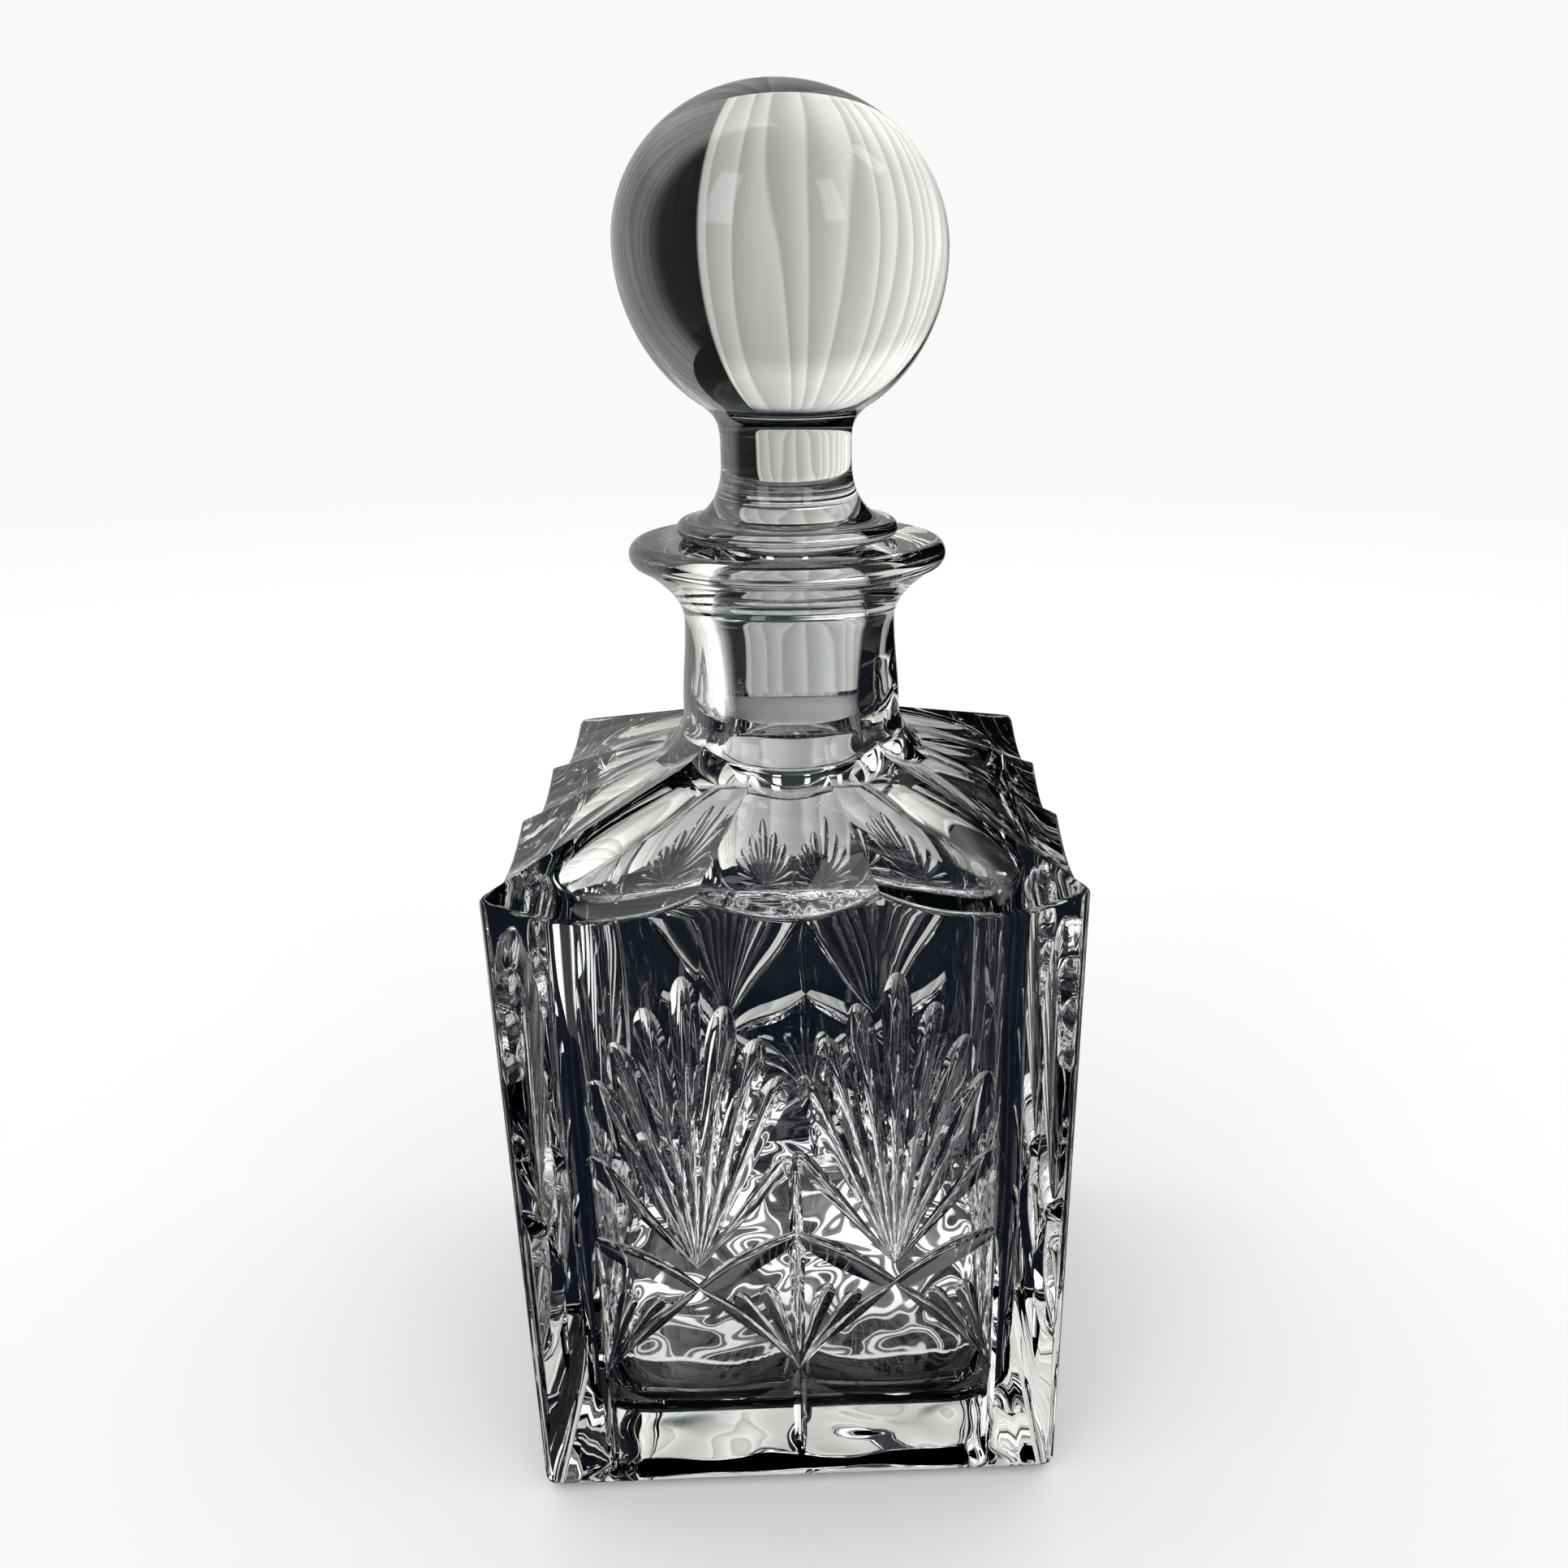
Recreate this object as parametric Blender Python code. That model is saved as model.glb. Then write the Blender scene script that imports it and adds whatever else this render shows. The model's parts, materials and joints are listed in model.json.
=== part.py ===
"""Cut crystal decanter: a square bottle with a fluted shoulder, and its ball stopper.

Metres, +Z up. The origin is the centre of the underside and the front face looks along -Y.
"""

import math

import bmesh
import bpy
from mathutils import Matrix, Vector

MM = 0.001

# Driving dimensions of the bottle
HALF_WIDTH = 47.0 * MM  # from the axis to a face, at the shoulder edge
BASE_HALF_WIDTH = 46.4 * MM  # the same at the underside: the faces lean out a little
CORNER_CHAMFER = 1.7 * MM
EDGE_HEIGHT = 118.0 * MM  # where an upright face meets the shoulder
SHOULDER_SLOPE = 0.38
BASE_ROUNDING = 3.0 * MM
NECK_FOOT_HEIGHT = 135.0 * MM
NECK_FOOT_RADIUS = 19.4 * MM
NECK_WAIST_HEIGHT = 151.0 * MM
NECK_WAIST_RADIUS = 18.5 * MM
SHOULDER_BLEND_RADIUS = 25.5 * MM
LIP_HEIGHT = 165.0 * MM
LIP_RADIUS = 27.4 * MM
LIP_ROUNDING = 2.35 * MM
LIP_FLARE = 0.08 / MM  # radius gained per height squared, above the waist

# Flutes on the shoulder
RIDGE_OFFSET = 14.2 * MM  # from a face's middle to the ridge between two flutes
FLUTE_SAG = 4.0 * MM  # how far a flute dips below the edge height on the face
FLUTE_FADE_RADIUS = 19.4 * MM

# Inside
INNER_HALF_WIDTH = 39.5 * MM
INNER_CORNER = 9.0 * MM
FLOOR_HEIGHT = 11.0 * MM
FLOOR_ROUNDING = 7.0 * MM
WALL_TOP_HEIGHT = 113.5 * MM
INNER_SHOULDER_RISE = 10.0 * MM
INNER_SHOULDER_ROUND = 3.5 * MM
INNER_SHOULDER_STOPS = (0.08, 0.3, 0.6, 0.85, 1.0)  # shares of the way out from the bore to the wall
INNER_TAPER = 0.5 * MM
MOUTH_CHAMFER = 1.0 * MM
THROAT_HEIGHT = 133.0 * MM
BORE_TOP_RADIUS = 14.2 * MM
BORE_BOTTOM_RADIUS = 12.5 * MM

# Stopper
FIT_GAP = 0.3 * MM
PLUG_BOTTOM_HEIGHT = 135.0 * MM
FLANGE_RADIUS = 19.05 * MM
FLANGE_ROUNDING = 1.5 * MM
STEM_RADIUS = 11.15 * MM
STEM_FOOT_HEIGHT = 168.3 * MM
STEM_WAIST_LOW = 177.5 * MM
STEM_WAIST_HIGH = 180.0 * MM
STEM_FLARE = 3.7  # how late the stem widens into the ball: a power of the share of the height
BALL_RADIUS = 27.3 * MM
BALL_HEIGHT = 211.4 * MM  # of its widest ring
BALL_UPPER = 24.6 * MM
BALL_LOWER = 28.5 * MM
BALL_JOIN_HEIGHT = 187.0 * MM

# Cut pattern on each upright face: u runs across the face and v is the height
COLUMN_PITCH = 33.6 * MM
LOW_NODE = 25.5 * MM
CROSS_NODE = 43.8 * MM
ARCH_NODE = 54.8 * MM
HIGH_NODE = 72.0 * MM
LOWER_FAN_HEIGHT = 27.0 * MM
UPPER_FAN_HEIGHT = 48.5 * MM
MITRE_FOOT = 4.0 * MM
RECESS_BOTTOM = 18.0 * MM
RECESS_SLOPE = -0.05  # beyond the scoop it grows this much shallower with height
SCOOP_DEPTH = 2.0 * MM
SCOOP_REACH = 6.0 * MM  # height above its lower edge at which a recess is fully scooped out
SCOOP_STOPS = (0.0, 0.12, 0.3, 1.0)  # shares of the way up a recess
RECESS_STEP = 0.02 * MM
LOWER_BOW = 0.7 * MM  # how far an arch bows out below and above its crossing
UPPER_BOW = 0.4 * MM
GROOVE_DEPTH = 1.85 * MM
GROOVE_END_SHARE = 0.45  # how deep an arch is at its ends, as a share of its depth halfway
MITRE_DEPTH = 0.9 * MM
GROOVE_HALF_ANGLE = math.radians(50)
CUTTER_RISE = 0.6 * MM  # how far a cutter stands out of the face
UPPER_BLADES = ((-36, 28.5, 1.35), (-22, 40.5, 2.0), (-14.5, 46, 2.0), (-7.2, 51, 2.0), (0, 56, 2.0),
                (7.2, 51, 2.0), (14.5, 46, 2.0), (22, 40.5, 2.0), (36, 27.5, 1.35))
LOWER_BLADES = ((-33, 19.5, 1.2), (-17, 18.5, 1.35), (0, 28.0, 1.2), (17, 18.5, 1.35), (33, 19.5, 1.2))

MITRE_OUTLINE = ((0.0, -0.1), (0.1, 1.0), (0.9, 1.0), (1.0, -0.1))  # length, depth
BLADE_OUTLINE = ((0.0, 0.1), (0.86, 1.0), (0.94, 0.85), (0.985, 0.45), (1.0, -0.1))  # length, depth

# Fineness
FLUTE_STEPS = (4, 4, 4)
ROUND_STEPS = 40
BLEND_STEPS = 5
ARC_STEPS = 4
SHOULDER_STEPS = 3
BALL_STEPS = 14
RECESS_STEPS = 8
ARCH_STEPS = 4


def clear_scene():
    for item in list(bpy.data.objects):
        bpy.data.objects.remove(item, do_unlink=True)


def crystal(name, tint):
    material = bpy.data.materials.new(name)
    material.use_nodes = True
    shader = material.node_tree.nodes["Principled BSDF"]
    shader.inputs["Base Color"].default_value = (*tint, 1.0)
    shader.inputs["Metallic"].default_value = 0.0
    shader.inputs["Roughness"].default_value = 0.02
    shader.inputs["IOR"].default_value = 1.54
    shader.inputs["Transmission Weight"].default_value = 1.0
    return material


def body_crystal():
    return crystal("body_crystal", (0.97, 0.98, 0.98))


def stopper_crystal():
    return crystal("stopper_crystal", (0.96, 0.97, 0.97))


def face_half_width(height):
    lean = (HALF_WIDTH - BASE_HALF_WIDTH) / EDGE_HEIGHT
    return BASE_HALF_WIDTH + lean * height


def edge_offsets():
    """Where the lines up one face lie at the shoulder edge, as distances from its middle."""
    end = HALF_WIDTH - CORNER_CHAMFER
    stops = (-end, -RIDGE_OFFSET, RIDGE_OFFSET, end)
    offsets = [stops[0]]
    for start, stop, steps in zip(stops, stops[1:], FLUTE_STEPS):
        offsets += [start + (stop - start) * i / steps for i in range(1, steps + 1)]
    return offsets


def flute_sag(offset):
    """How far the flutes lower the shoulder edge at this distance from the face's middle."""
    if abs(offset) <= RIDGE_OFFSET:
        middle, half = 0.0, RIDGE_OFFSET
    else:
        middle = math.copysign((RIDGE_OFFSET + HALF_WIDTH) / 2, offset)
        half = (HALF_WIDTH - RIDGE_OFFSET) / 2
    return FLUTE_SAG * max(0.0, 1 - ((offset - middle) / half) ** 2)


def quarter_turns(points):
    """The points of the front quarter, repeated on the other three sides."""
    return [(x * c - y * s, x * s + y * c, z)
            for c, s in ((1, 0), (0, 1), (-1, 0), (0, -1)) for x, y, z in points]


def square_ring(half_width, height):
    scale = half_width / HALF_WIDTH
    return quarter_turns([(u * scale, -half_width, height) for u in edge_offsets()])


def azimuths():
    return [math.atan2(u, HALF_WIDTH) for u in edge_offsets()]


def round_ring(radius, height):
    return quarter_turns([(radius * math.sin(a), -radius * math.cos(a), height) for a in azimuths()])


def edge_ring():
    """The line where the flutes cut the upright faces."""
    points = []
    for u in edge_offsets():
        height = EDGE_HEIGHT - flute_sag(u)
        width = face_half_width(height)
        points.append((u * width / HALF_WIDTH, -width, height))
    return quarter_turns(points)


def shoulder_height(radius, azimuth, offset):
    """A pyramid with flutes sunk in it, lifted into the neck by a round fillet."""
    pyramid = EDGE_HEIGHT + SHOULDER_SLOPE * (HALF_WIDTH - radius * math.cos(azimuth))
    edge_radius = math.hypot(offset, HALF_WIDTH)
    depth = max(0.0, (radius - FLUTE_FADE_RADIUS) / (edge_radius - FLUTE_FADE_RADIUS))
    fluted = pyramid - flute_sag(offset) * depth
    reach = (SHOULDER_BLEND_RADIUS - radius) / (SHOULDER_BLEND_RADIUS - NECK_FOOT_RADIUS)
    lift = 1 - math.sqrt(1 - min(1.0, max(0.0, reach)) ** 2)
    return fluted + (NECK_FOOT_HEIGHT - fluted) * lift


def shoulder_rings():
    outer = [(1 - i / SHOULDER_STEPS, SHOULDER_BLEND_RADIUS) for i in range(1, SHOULDER_STEPS + 1)]
    blend = SHOULDER_BLEND_RADIUS - NECK_FOOT_RADIUS
    inner = [(0.0, SHOULDER_BLEND_RADIUS - blend * math.sin(math.pi / 2 * i / BLEND_STEPS))
             for i in range(1, BLEND_STEPS + 1)]
    rings = []
    for share, inner_radius in outer + inner:
        points = []
        for offset, azimuth in zip(edge_offsets(), azimuths()):
            edge_radius = math.hypot(offset, HALF_WIDTH)
            radius = inner_radius + share * (edge_radius - inner_radius)
            height = shoulder_height(radius, azimuth, offset)
            points.append((radius * math.sin(azimuth), -radius * math.cos(azimuth), height))
        rings.append(quarter_turns(points))
    return rings


def base_rings():
    """The rounded edge under the bottle, from the underside up."""
    rings = []
    for i in range(ARC_STEPS + 1):
        angle = math.pi / 2 * i / ARC_STEPS
        height = BASE_ROUNDING * (1 - math.cos(angle))
        inset = BASE_ROUNDING * (1 - math.sin(angle))
        rings.append(square_ring(face_half_width(BASE_ROUNDING) - inset, height))
    return rings


def neck_rings():
    """The neck's waist, its flare and the rolled lip, up to the flat on top."""
    rings = [round_ring((NECK_FOOT_RADIUS * 2 + NECK_WAIST_RADIUS) / 3, NECK_FOOT_HEIGHT + 5 * MM)]
    centre_radius = LIP_RADIUS - LIP_ROUNDING
    centre_height = LIP_HEIGHT - LIP_ROUNDING
    start = math.radians(-50)
    flare_top = centre_height + LIP_ROUNDING * math.sin(start)
    for i in range(ARC_STEPS):
        height = NECK_WAIST_HEIGHT + (flare_top - NECK_WAIST_HEIGHT) * i / ARC_STEPS
        radius = NECK_WAIST_RADIUS + LIP_FLARE * (height - NECK_WAIST_HEIGHT) ** 2
        rings.append(round_ring(radius, height))
    for i in range(ARC_STEPS + 2):
        angle = start + (math.pi / 2 - start) * i / (ARC_STEPS + 1)
        rings.append(round_ring(centre_radius + LIP_ROUNDING * math.cos(angle),
                                centre_height + LIP_ROUNDING * math.sin(angle)))
    return rings


def inner_ring(half_width, squareness, height):
    """A ring of the cavity, between a circle (squareness 0) and a square with round corners (1)."""
    corner = min(INNER_CORNER, half_width)
    flat = half_width - corner
    points = []
    for azimuth in azimuths():
        s, c = abs(math.sin(azimuth)), math.cos(azimuth)
        square = half_width / c
        if square * s > flat:
            square = flat * (s + c) + math.sqrt(max(0.0, corner ** 2 - (flat * (c - s)) ** 2))
        radius = half_width + (square - half_width) * squareness
        points.append((radius * math.sin(azimuth), -radius * math.cos(azimuth), height))
    return quarter_turns(points)


def inner_shoulder_height(share):
    """The cavity's roof, from beside the throat (share 0) to the top of the wall (share 1)."""
    return (WALL_TOP_HEIGHT + INNER_SHOULDER_RISE * (1 - share)
            + INNER_SHOULDER_ROUND * math.sqrt(1 - share ** 6))


def cavity_rings():
    """The inside, from the mouth of the bore down to the floor."""
    rings = [round_ring(BORE_TOP_RADIUS + MOUTH_CHAMFER, LIP_HEIGHT),
             round_ring(BORE_TOP_RADIUS, LIP_HEIGHT - MOUTH_CHAMFER),
             round_ring(BORE_BOTTOM_RADIUS, THROAT_HEIGHT)]
    for share in INNER_SHOULDER_STOPS:
        width = BORE_BOTTOM_RADIUS + (INNER_HALF_WIDTH - BORE_BOTTOM_RADIUS) * share
        rings.append(inner_ring(width, share, inner_shoulder_height(share)))
    for i in range(ARC_STEPS):
        angle = math.pi / 2 * i / (ARC_STEPS - 1)
        width = INNER_HALF_WIDTH - INNER_TAPER - FLOOR_ROUNDING * (1 - math.cos(angle))
        height = FLOOR_HEIGHT + FLOOR_ROUNDING * (1 - math.sin(angle))
        rings.append(inner_ring(width, 1.0, height))
    return rings


def loft(name, rings):
    """A closed mesh through rings of equal length, capped at both ends."""
    mesh = bmesh.new()
    rows = [[mesh.verts.new(point) for point in ring] for ring in rings]
    count = len(rows[0])
    for lower, upper in zip(rows, rows[1:]):
        for i in range(count):
            j = (i + 1) % count
            mesh.faces.new((lower[i], lower[j], upper[j], upper[i]))
    mesh.faces.new(rows[0][::-1])
    mesh.faces.new(rows[-1])
    bmesh.ops.recalc_face_normals(mesh, faces=mesh.faces)
    bmesh.ops.dissolve_limit(mesh, angle_limit=math.radians(0.2), verts=mesh.verts, edges=mesh.edges)
    data = bpy.data.meshes.new(name)
    mesh.to_mesh(data)
    mesh.free()
    data.shade_smooth()
    data.set_sharp_from_angle(angle=math.radians(25))
    return data


def on_face(u, v, outward):
    """A point of the front face's own frame, in the bottle's frame."""
    return Vector((u, -(face_half_width(v) + outward), v))


def groove_mesh(name, path, depths):
    """A V-shaped cutter that follows a path on the face, as deep as stated at each point."""
    mesh = bmesh.new()
    widening = math.tan(GROOVE_HALF_ANGLE)
    rows = []
    for i, (point, depth) in enumerate(zip(path, depths)):
        ahead = (path[min(i + 1, len(path) - 1)] - path[max(i - 1, 0)]).normalized()
        aside = Vector((-ahead.y, ahead.x)) * (depth + CUTTER_RISE) * widening
        left, right = point + aside, point - aside
        rows.append([mesh.verts.new(on_face(*point, -depth)),
                     mesh.verts.new(on_face(*left, CUTTER_RISE)),
                     mesh.verts.new(on_face(*right, CUTTER_RISE))])
    for low, high in zip(rows, rows[1:]):
        for i in range(3):
            j = (i + 1) % 3
            mesh.faces.new((low[i], low[j], high[j], high[i]))
    mesh.faces.new(rows[0][::-1])
    mesh.faces.new(rows[-1])
    bmesh.ops.recalc_face_normals(mesh, faces=mesh.faces)
    data = bpy.data.meshes.new(name)
    mesh.to_mesh(data)
    mesh.free()
    return data


def blade_mesh(name, foot, angle, length, depth):
    """One leaf of a fan: it deepens from its foot and ends in a round tip."""
    ahead = Vector((math.sin(angle), math.cos(angle)))
    path = [foot + ahead * length * share for share, _ in BLADE_OUTLINE]
    return groove_mesh(name, path, [depth * part for _, part in BLADE_OUTLINE])


def arch_path(low, cross, high):
    """A bowed line from a low node over a crossing to the head of the next column, and its depths."""
    points, depths = [], []
    for start, end, bow in ((low, cross, LOWER_BOW), (cross, high, UPPER_BOW)):
        for i in range(ARCH_STEPS + (end is high)):
            swell = math.sin(math.pi * i / ARCH_STEPS)
            points.append(start.lerp(end, i / ARCH_STEPS) + Vector((0, bow * swell)))
            depths.append(GROOVE_DEPTH * (GROOVE_END_SHARE + (1 - GROOVE_END_SHARE) * swell))
    return points, depths


def recess_depth(climb):
    """How deep a recess is, this far above its lower edge."""
    turn = math.pi / 2 * min(1.0, climb / SCOOP_REACH)
    return RECESS_STEP + SCOOP_DEPTH * math.sin(turn) + RECESS_SLOPE * climb


def recess_mesh(name, middle):
    """The hollow under one crossing: it is scooped out upward from a round lower edge."""
    mesh = bmesh.new()
    half = COLUMN_PITCH / 2
    rows = []
    for i in range(RECESS_STEPS + 1):
        share = -1 + 2 * i / RECESS_STEPS
        u = middle + share * half
        bottom = LOW_NODE - (LOW_NODE - RECESS_BOTTOM) * (1 - share ** 2)
        top = LOW_NODE + (CROSS_NODE - LOW_NODE) * (1 - abs(share)) + RECESS_STEP
        climbs = [(top - bottom) * stop for stop in SCOOP_STOPS]
        row = [on_face(u, bottom, CUTTER_RISE)]
        row += [on_face(u, bottom + climb, -recess_depth(climb)) for climb in climbs]
        row.append(on_face(u, top, CUTTER_RISE))
        rows.append([mesh.verts.new(point) for point in row])
    count = len(rows[0])
    for low, high in zip(rows, rows[1:]):
        for i in range(count):
            j = (i + 1) % count
            mesh.faces.new((low[i], low[j], high[j], high[i]))
    mesh.faces.new(rows[0][::-1])
    mesh.faces.new(rows[-1])
    bmesh.ops.recalc_face_normals(mesh, faces=mesh.faces)
    data = bpy.data.meshes.new(name)
    mesh.to_mesh(data)
    mesh.free()
    return data


def arch_cutters():
    """Four crossing arches: each rises from a low node and ends over the next column."""
    cutters = []
    for column in (-1, 0, 1):
        for side in (-1, 1):
            if abs(column + side) > 1:
                continue
            foot = column * COLUMN_PITCH
            low = Vector((foot, LOW_NODE))
            cross = Vector((foot + side * COLUMN_PITCH / 2, CROSS_NODE))
            high = Vector((foot + side * COLUMN_PITCH, ARCH_NODE))
            cutters.append(groove_mesh("arch_cut", *arch_path(low, cross, high)))
    return cutters


def mitre_cutters():
    """Upright lines: one in the middle of the face and one beside each corner pillar."""
    cutters = []
    lines = ((-1, MITRE_FOOT, ARCH_NODE), (0, MITRE_FOOT, HIGH_NODE), (1, MITRE_FOOT, ARCH_NODE))
    for column, bottom, top in lines:
        u = column * COLUMN_PITCH
        run = top - bottom
        path = [Vector((u, bottom + run * share)) for share, _ in MITRE_OUTLINE]
        depths = [MITRE_DEPTH * part for _, part in MITRE_OUTLINE]
        cutters.append(groove_mesh("mitre_cut", path, depths))
    return cutters


def fan_cutters():
    cutters = []
    for side in (-1, 1):
        foot = Vector((side * COLUMN_PITCH / 2, UPPER_FAN_HEIGHT))
        for degrees, length, depth in UPPER_BLADES:
            angle = math.radians(degrees)
            cutters.append(blade_mesh("upper_blade_cut", foot, angle, length * MM, depth * MM))
    for column in (-1, 0, 1):
        foot = Vector((column * COLUMN_PITCH, LOWER_FAN_HEIGHT))
        for degrees, length, depth in LOWER_BLADES:
            outward = column * degrees > 0
            if outward or (column and degrees == 0):
                continue
            angle = math.radians(degrees)
            cutters.append(blade_mesh("lower_blade_cut", foot, angle, length * MM, depth * MM))
    return cutters


def recess_cutters():
    return [recess_mesh("recess_cut", side * COLUMN_PITCH / 2) for side in (-1, 1)]


def pattern_cutters():
    """One face's cutters, repeated on all four faces as hidden objects in their own collection."""
    group = bpy.data.collections.new("pattern_cutters")
    bpy.context.scene.collection.children.link(group)
    for data in arch_cutters() + mitre_cutters() + fan_cutters() + recess_cutters():
        for quarter in range(4):
            cutter = bpy.data.objects.new(data.name, data)
            cutter.rotation_euler.z = quarter * math.pi / 2
            cutter.hide_render = True
            cutter.display_type = "WIRE"
            group.objects.link(cutter)
    return group


def place(name, data, material, origin, parent):
    data.transform(Matrix.Translation(-origin))
    data.materials.append(material)
    item = bpy.data.objects.new(name, data)
    item.location = origin
    item.parent = parent
    bpy.context.scene.collection.objects.link(item)
    return item


def make_body(parent):
    """The bottle: one piece of glass from the underside over the lip and down to the inner floor."""
    rings = base_rings() + [edge_ring()] + shoulder_rings() + neck_rings() + cavity_rings()
    body = place("decanter_body", loft("decanter_body", rings), body_crystal(), Vector(), parent)
    cut = body.modifiers.new("cut_pattern", "BOOLEAN")
    cut.operation = "DIFFERENCE"
    cut.solver = "EXACT"
    cut.operand_type = "COLLECTION"
    cut.collection = pattern_cutters()
    return body


def turned_ring(radius, height):
    turns = [math.tau * i / ROUND_STEPS for i in range(ROUND_STEPS)]
    return [(radius * math.cos(turn), radius * math.sin(turn), height) for turn in turns]


def stopper_profile():
    """(radius, height) from the plug's flat end up to the top of the ball."""
    flange_bottom = LIP_HEIGHT + FIT_GAP
    points = [(BORE_BOTTOM_RADIUS - FIT_GAP - 0.4 * MM, PLUG_BOTTOM_HEIGHT),
              (BORE_BOTTOM_RADIUS - FIT_GAP, PLUG_BOTTOM_HEIGHT + 0.4 * MM),
              (BORE_TOP_RADIUS - FIT_GAP, flange_bottom - 0.6 * MM),
              (BORE_TOP_RADIUS - FIT_GAP + 0.4 * MM, flange_bottom)]
    for i in range(ARC_STEPS + 1):
        angle = -math.pi / 2 + math.pi * i / ARC_STEPS
        points.append((FLANGE_RADIUS - FLANGE_ROUNDING * (1 - math.cos(angle)),
                       flange_bottom + FLANGE_ROUNDING * (1 + math.sin(angle))))
    for i in range(1, BLEND_STEPS + 1):
        angle = math.pi / 2 * (1 - i / BLEND_STEPS)
        reach = FLANGE_RADIUS - FLANGE_ROUNDING - STEM_RADIUS
        points.append((STEM_RADIUS + reach * (1 - math.cos(angle)),
                       STEM_WAIST_LOW - (STEM_WAIST_LOW - STEM_FOOT_HEIGHT) * math.sin(angle)))
    join_drop = (BALL_HEIGHT - BALL_JOIN_HEIGHT) / BALL_LOWER
    join_radius = BALL_RADIUS * math.sqrt(1 - join_drop ** 2)
    for i in range(ARC_STEPS + 1):
        share = i / (ARC_STEPS + 1)
        points.append((STEM_RADIUS + (join_radius - STEM_RADIUS) * share ** STEM_FLARE,
                       STEM_WAIST_HIGH + (BALL_JOIN_HEIGHT - STEM_WAIST_HIGH) * share))
    start = -math.asin(join_drop)
    for i in range(BALL_STEPS):
        angle = start + (math.pi / 2 - start) * i / BALL_STEPS
        reach = BALL_UPPER if angle > 0 else BALL_LOWER
        points.append((BALL_RADIUS * math.cos(angle), BALL_HEIGHT + reach * math.sin(angle)))
    cap = points[-1][0] / 3
    points.append((cap, BALL_HEIGHT + BALL_UPPER * math.sqrt(1 - (cap / BALL_RADIUS) ** 2)))
    return points


def make_stopper(parent):
    """Ball, stem, flange and plug in one piece. Its origin is where its axis leaves the lip."""
    data = loft("ball_stopper", [turned_ring(radius, height) for radius, height in stopper_profile()])
    return place("ball_stopper", data, stopper_crystal(), Vector((0, 0, LIP_HEIGHT)), parent)


def main():
    clear_scene()
    root = bpy.data.objects.new("decanter", None)
    bpy.context.scene.collection.objects.link(root)
    make_body(root)
    make_stopper(root)
    bpy.context.view_layer.update()


main()
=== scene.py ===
"""The finished look of the cut crystal decanter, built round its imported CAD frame."""

import json
import math

import bmesh
import bpy
from mathutils import Matrix, Vector, noise

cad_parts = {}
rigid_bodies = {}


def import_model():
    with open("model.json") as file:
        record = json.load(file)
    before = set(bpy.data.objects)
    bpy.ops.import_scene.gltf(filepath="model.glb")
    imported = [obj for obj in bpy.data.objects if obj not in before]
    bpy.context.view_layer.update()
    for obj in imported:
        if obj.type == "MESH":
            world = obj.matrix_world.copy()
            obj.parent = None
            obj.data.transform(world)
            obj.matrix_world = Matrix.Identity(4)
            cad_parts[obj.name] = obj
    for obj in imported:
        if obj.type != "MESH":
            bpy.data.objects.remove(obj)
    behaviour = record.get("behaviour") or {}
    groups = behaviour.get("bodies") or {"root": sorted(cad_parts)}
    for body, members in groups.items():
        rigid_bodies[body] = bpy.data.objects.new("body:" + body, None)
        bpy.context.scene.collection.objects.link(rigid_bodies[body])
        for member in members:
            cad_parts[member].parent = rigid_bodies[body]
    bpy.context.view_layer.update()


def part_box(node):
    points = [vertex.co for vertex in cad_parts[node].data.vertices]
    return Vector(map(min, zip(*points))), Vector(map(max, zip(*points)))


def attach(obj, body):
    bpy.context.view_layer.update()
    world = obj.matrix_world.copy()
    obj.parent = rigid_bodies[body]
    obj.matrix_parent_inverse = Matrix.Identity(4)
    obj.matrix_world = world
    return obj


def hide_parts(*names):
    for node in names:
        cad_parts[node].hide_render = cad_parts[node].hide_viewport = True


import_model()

MM = 0.001
BODY_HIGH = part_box("decanter_body")[1]
STOPPER_LOW, STOPPER_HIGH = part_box("ball_stopper")

# The bottle, from the frame's own box
HALF_WIDTH = BODY_HIGH.x
LIP_HEIGHT = BODY_HIGH.z
FACE_LEAN = 0.6 * MM  # how much wider it is at the shoulder edge than at the underside
BASE_HALF_WIDTH = HALF_WIDTH - FACE_LEAN
CORNER_ROUNDING = 1.7 * MM
EDGE_HEIGHT = 118.0 * MM
EDGE_ROUNDING = 0.7 * MM
SHOULDER_SLOPE = 0.38  # rise over run, where no flute is sunk
BASE_ROUNDING = 3.0 * MM
NECK_FOOT_HEIGHT = 135.0 * MM
NECK_FOOT_RADIUS = 19.4 * MM
NECK_WAIST_HEIGHT = 151.0 * MM
NECK_WAIST_RADIUS = 18.5 * MM
SHOULDER_BLEND_RADIUS = 25.5 * MM
LIP_RADIUS = 27.4 * MM
LIP_ROUNDING = 2.35 * MM
LIP_FLARE = 0.08 / MM  # radius gained per height squared, above the waist
LIP_START = math.radians(-50)  # where the flare runs into the lip's rounding

# Underside: it stands on a flat rim, and inside that it is a little hollow and uneven
RIM_WIDTH = 3.0 * MM
HOLLOW_DEPTH = 0.4 * MM
HOLLOW_REACH = 6.0 * MM  # from the rim to where the hollow has its full depth
UNDERSIDE_WAVES = (0.4 * MM, 14.0 * MM)  # how far it wanders, and over what length

# Flutes on the shoulder
RIDGE_OFFSET = 14.2 * MM  # from a face's middle to the ridge between two flutes
RIDGE_SOFTNESS = 0.45 * MM
FLUTE_SAG = 4.0 * MM  # how far a flute dips below the edge height on the face
FLUTE_FADE_RADIUS = 19.4 * MM

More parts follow.
